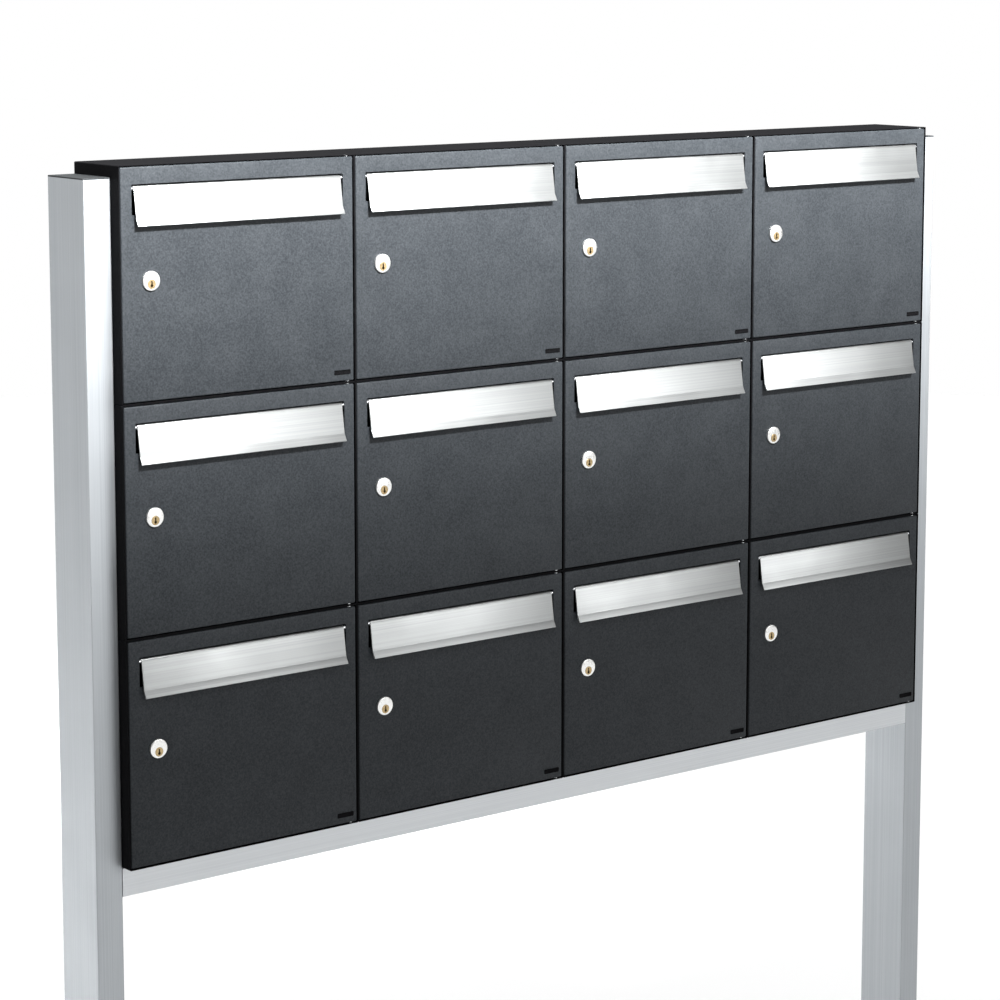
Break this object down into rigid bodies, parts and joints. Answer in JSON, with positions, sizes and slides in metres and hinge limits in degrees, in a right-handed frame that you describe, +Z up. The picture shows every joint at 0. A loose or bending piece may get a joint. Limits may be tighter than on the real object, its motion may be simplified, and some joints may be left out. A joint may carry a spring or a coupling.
{
  "type": "cluster mailbox unit",
  "caption": "Free-standing cluster of front-loading letter boxes with hinged doors, lift-up mail flaps and cam locks between two posts.",
  "frame": {"origin": "on the floor, midway between the two posts, at the middle of the posts' depth", "axes": "+X to the right seen from the front, -Y out of the doors towards the person, +Z up"},
  "size_m": [1.6402, 0.16, 1.6299],
  "materials": {
    "casing_paint": "fine-texture black powder coat",
    "door_paint": "fine-texture anthracite powder coat",
    "flap_aluminium": "matt anodised",
    "lock_nickel": "satin nickel plate",
    "lock_brass": "brushed",
    "post_aluminium": "satin anodised",
    "connector_aluminium": "mill finish",
    "cap_plastic": "matt moulded",
    "foot_steel": "zinc plated",
    "pin_steel": "bright zinc plate",
    "zinc_steel": "bright zinc plate"
  },
  "bodies": {
    "frame": {"casings_c1": "casing_paint", "casings_c2": "casing_paint", "casings_c3": "casing_paint", "casings_c4": "casing_paint", "post_left": "post_aluminium", "post_right": "post_aluminium", "post_caps": "cap_plastic", "foot_plates": "foot_steel", "support_rail": "post_aluminium", "rail_connectors": "connector_aluminium", "hinge_pins": "pin_steel", "fasteners": "zinc_steel"},
    "door_r1c1": {"door_r1c1": "door_paint", "lock_body_r1c1": "lock_nickel"},
    "flap_r1c1": {"flap_r1c1": "flap_aluminium"},
    "lock_r1c1": {"lock_core_r1c1": "lock_brass"},
    "door_r1c2": {"door_r1c2": "door_paint", "lock_body_r1c2": "lock_nickel"},
    "flap_r1c2": {"flap_r1c2": "flap_aluminium"},
    "lock_r1c2": {"lock_core_r1c2": "lock_brass"},
    "door_r1c3": {"door_r1c3": "door_paint", "lock_body_r1c3": "lock_nickel"},
    "flap_r1c3": {"flap_r1c3": "flap_aluminium"},
    "lock_r1c3": {"lock_core_r1c3": "lock_brass"},
    "door_r1c4": {"door_r1c4": "door_paint", "lock_body_r1c4": "lock_nickel"},
    "flap_r1c4": {"flap_r1c4": "flap_aluminium"},
    "lock_r1c4": {"lock_core_r1c4": "lock_brass"},
    "door_r2c1": {"door_r2c1": "door_paint", "lock_body_r2c1": "lock_nickel"},
    "flap_r2c1": {"flap_r2c1": "flap_aluminium"},
    "lock_r2c1": {"lock_core_r2c1": "lock_brass"},
    "door_r2c2": {"door_r2c2": "door_paint", "lock_body_r2c2": "lock_nickel"},
    "flap_r2c2": {"flap_r2c2": "flap_aluminium"},
    "lock_r2c2": {"lock_core_r2c2": "lock_brass"},
    "door_r2c3": {"door_r2c3": "door_paint", "lock_body_r2c3": "lock_nickel"},
    "flap_r2c3": {"flap_r2c3": "flap_aluminium"},
    "lock_r2c3": {"lock_core_r2c3": "lock_brass"},
    "door_r2c4": {"door_r2c4": "door_paint", "lock_body_r2c4": "lock_nickel"},
    "flap_r2c4": {"flap_r2c4": "flap_aluminium"},
    "lock_r2c4": {"lock_core_r2c4": "lock_brass"},
    "door_r3c1": {"door_r3c1": "door_paint", "lock_body_r3c1": "lock_nickel"},
    "flap_r3c1": {"flap_r3c1": "flap_aluminium"},
    "lock_r3c1": {"lock_core_r3c1": "lock_brass"},
    "door_r3c2": {"door_r3c2": "door_paint", "lock_body_r3c2": "lock_nickel"},
    "flap_r3c2": {"flap_r3c2": "flap_aluminium"},
    "lock_r3c2": {"lock_core_r3c2": "lock_brass"},
    "door_r3c3": {"door_r3c3": "door_paint", "lock_body_r3c3": "lock_nickel"},
    "flap_r3c3": {"flap_r3c3": "flap_aluminium"},
    "lock_r3c3": {"lock_core_r3c3": "lock_brass"},
    "door_r3c4": {"door_r3c4": "door_paint", "lock_body_r3c4": "lock_nickel"},
    "flap_r3c4": {"flap_r3c4": "flap_aluminium"},
    "lock_r3c4": {"lock_core_r3c4": "lock_brass"}
  },
  "joints": [
    {"name": "door_r1c1_hinge", "type": "hinge", "parent": "frame", "child": "door_r1c1", "pos_m": [-0.381, -0.0595, 1.475], "axis": [0, 0, 1], "range_deg": [0, 90]},
    {"name": "flap_r1c1_lift", "type": "hinge", "parent": "door_r1c1", "child": "flap_r1c1", "pos_m": [-0.555, -0.0618, 1.5998], "axis": [-1, 0, 0], "range_deg": [0, 75]},
    {"name": "lock_r1c1_turn", "type": "hinge", "parent": "door_r1c1", "child": "lock_r1c1", "pos_m": [-0.6945, -0.065, 1.4753], "axis": [0, 1, 0], "range_deg": [0, 90]},
    {"name": "door_r1c2_hinge", "type": "hinge", "parent": "frame", "child": "door_r1c2", "pos_m": [-0.011, -0.0595, 1.475], "axis": [0, 0, 1], "range_deg": [0, 90]},
    {"name": "flap_r1c2_lift", "type": "hinge", "parent": "door_r1c2", "child": "flap_r1c2", "pos_m": [-0.185, -0.0618, 1.5998], "axis": [-1, 0, 0], "range_deg": [0, 75]},
    {"name": "lock_r1c2_turn", "type": "hinge", "parent": "door_r1c2", "child": "lock_r1c2", "pos_m": [-0.3245, -0.065, 1.4753], "axis": [0, 1, 0], "range_deg": [0, 90]},
    {"name": "door_r1c3_hinge", "type": "hinge", "parent": "frame", "child": "door_r1c3", "pos_m": [0.359, -0.0595, 1.475], "axis": [0, 0, 1], "range_deg": [0, 90]},
    {"name": "flap_r1c3_lift", "type": "hinge", "parent": "door_r1c3", "child": "flap_r1c3", "pos_m": [0.185, -0.0618, 1.5998], "axis": [-1, 0, 0], "range_deg": [0, 75]},
    {"name": "lock_r1c3_turn", "type": "hinge", "parent": "door_r1c3", "child": "lock_r1c3", "pos_m": [0.0455, -0.065, 1.4753], "axis": [0, 1, 0], "range_deg": [0, 90]},
    {"name": "door_r1c4_hinge", "type": "hinge", "parent": "frame", "child": "door_r1c4", "pos_m": [0.729, -0.0595, 1.475], "axis": [0, 0, 1], "range_deg": [0, 90]},
    {"name": "flap_r1c4_lift", "type": "hinge", "parent": "door_r1c4", "child": "flap_r1c4", "pos_m": [0.555, -0.0618, 1.5998], "axis": [-1, 0, 0], "range_deg": [0, 75]},
    {"name": "lock_r1c4_turn", "type": "hinge", "parent": "door_r1c4", "child": "lock_r1c4", "pos_m": [0.4155, -0.065, 1.4753], "axis": [0, 1, 0], "range_deg": [0, 90]},
    {"name": "door_r2c1_hinge", "type": "hinge", "parent": "frame", "child": "door_r2c1", "pos_m": [-0.381, -0.0595, 1.165], "axis": [0, 0, 1], "range_deg": [0, 90]},
    {"name": "flap_r2c1_lift", "type": "hinge", "parent": "door_r2c1", "child": "flap_r2c1", "pos_m": [-0.555, -0.0618, 1.2898], "axis": [-1, 0, 0], "range_deg": [0, 75]},
    {"name": "lock_r2c1_turn", "type": "hinge", "parent": "door_r2c1", "child": "lock_r2c1", "pos_m": [-0.6945, -0.065, 1.1653], "axis": [0, 1, 0], "range_deg": [0, 90]},
    {"name": "door_r2c2_hinge", "type": "hinge", "parent": "frame", "child": "door_r2c2", "pos_m": [-0.011, -0.0595, 1.165], "axis": [0, 0, 1], "range_deg": [0, 90]},
    {"name": "flap_r2c2_lift", "type": "hinge", "parent": "door_r2c2", "child": "flap_r2c2", "pos_m": [-0.185, -0.0618, 1.2898], "axis": [-1, 0, 0], "range_deg": [0, 75]},
    {"name": "lock_r2c2_turn", "type": "hinge", "parent": "door_r2c2", "child": "lock_r2c2", "pos_m": [-0.3245, -0.065, 1.1653], "axis": [0, 1, 0], "range_deg": [0, 90]},
    {"name": "door_r2c3_hinge", "type": "hinge", "parent": "frame", "child": "door_r2c3", "pos_m": [0.359, -0.0595, 1.165], "axis": [0, 0, 1], "range_deg": [0, 90]},
    {"name": "flap_r2c3_lift", "type": "hinge", "parent": "door_r2c3", "child": "flap_r2c3", "pos_m": [0.185, -0.0618, 1.2898], "axis": [-1, 0, 0], "range_deg": [0, 75]},
    {"name": "lock_r2c3_turn", "type": "hinge", "parent": "door_r2c3", "child": "lock_r2c3", "pos_m": [0.0455, -0.065, 1.1653], "axis": [0, 1, 0], "range_deg": [0, 90]},
    {"name": "door_r2c4_hinge", "type": "hinge", "parent": "frame", "child": "door_r2c4", "pos_m": [0.729, -0.0595, 1.165], "axis": [0, 0, 1], "range_deg": [0, 90]},
    {"name": "flap_r2c4_lift", "type": "hinge", "parent": "door_r2c4", "child": "flap_r2c4", "pos_m": [0.555, -0.0618, 1.2898], "axis": [-1, 0, 0], "range_deg": [0, 75]},
    {"name": "lock_r2c4_turn", "type": "hinge", "parent": "door_r2c4", "child": "lock_r2c4", "pos_m": [0.4155, -0.065, 1.1653], "axis": [0, 1, 0], "range_deg": [0, 90]},
    {"name": "door_r3c1_hinge", "type": "hinge", "parent": "frame", "child": "door_r3c1", "pos_m": [-0.381, -0.0595, 0.855], "axis": [0, 0, 1], "range_deg": [0, 90]},
    {"name": "flap_r3c1_lift", "type": "hinge", "parent": "door_r3c1", "child": "flap_r3c1", "pos_m": [-0.555, -0.0618, 0.9798], "axis": [-1, 0, 0], "range_deg": [0, 75]},
    {"name": "lock_r3c1_turn", "type": "hinge", "parent": "door_r3c1", "child": "lock_r3c1", "pos_m": [-0.6945, -0.065, 0.8553], "axis": [0, 1, 0], "range_deg": [0, 90]},
    {"name": "door_r3c2_hinge", "type": "hinge", "parent": "frame", "child": "door_r3c2", "pos_m": [-0.011, -0.0595, 0.855], "axis": [0, 0, 1], "range_deg": [0, 90]},
    {"name": "flap_r3c2_lift", "type": "hinge", "parent": "door_r3c2", "child": "flap_r3c2", "pos_m": [-0.185, -0.0618, 0.9798], "axis": [-1, 0, 0], "range_deg": [0, 75]},
    {"name": "lock_r3c2_turn", "type": "hinge", "parent": "door_r3c2", "child": "lock_r3c2", "pos_m": [-0.3245, -0.065, 0.8553], "axis": [0, 1, 0], "range_deg": [0, 90]},
    {"name": "door_r3c3_hinge", "type": "hinge", "parent": "frame", "child": "door_r3c3", "pos_m": [0.359, -0.0595, 0.855], "axis": [0, 0, 1], "range_deg": [0, 90]},
    {"name": "flap_r3c3_lift", "type": "hinge", "parent": "door_r3c3", "child": "flap_r3c3", "pos_m": [0.185, -0.0618, 0.9798], "axis": [-1, 0, 0], "range_deg": [0, 75]},
    {"name": "lock_r3c3_turn", "type": "hinge", "parent": "door_r3c3", "child": "lock_r3c3", "pos_m": [0.0455, -0.065, 0.8553], "axis": [0, 1, 0], "range_deg": [0, 90]},
    {"name": "door_r3c4_hinge", "type": "hinge", "parent": "frame", "child": "door_r3c4", "pos_m": [0.729, -0.0595, 0.855], "axis": [0, 0, 1], "range_deg": [0, 90]},
    {"name": "flap_r3c4_lift", "type": "hinge", "parent": "door_r3c4", "child": "flap_r3c4", "pos_m": [0.555, -0.0618, 0.9798], "axis": [-1, 0, 0], "range_deg": [0, 75]},
    {"name": "lock_r3c4_turn", "type": "hinge", "parent": "door_r3c4", "child": "lock_r3c4", "pos_m": [0.4155, -0.065, 0.8553], "axis": [0, 1, 0], "range_deg": [0, 90]}
  ]
}
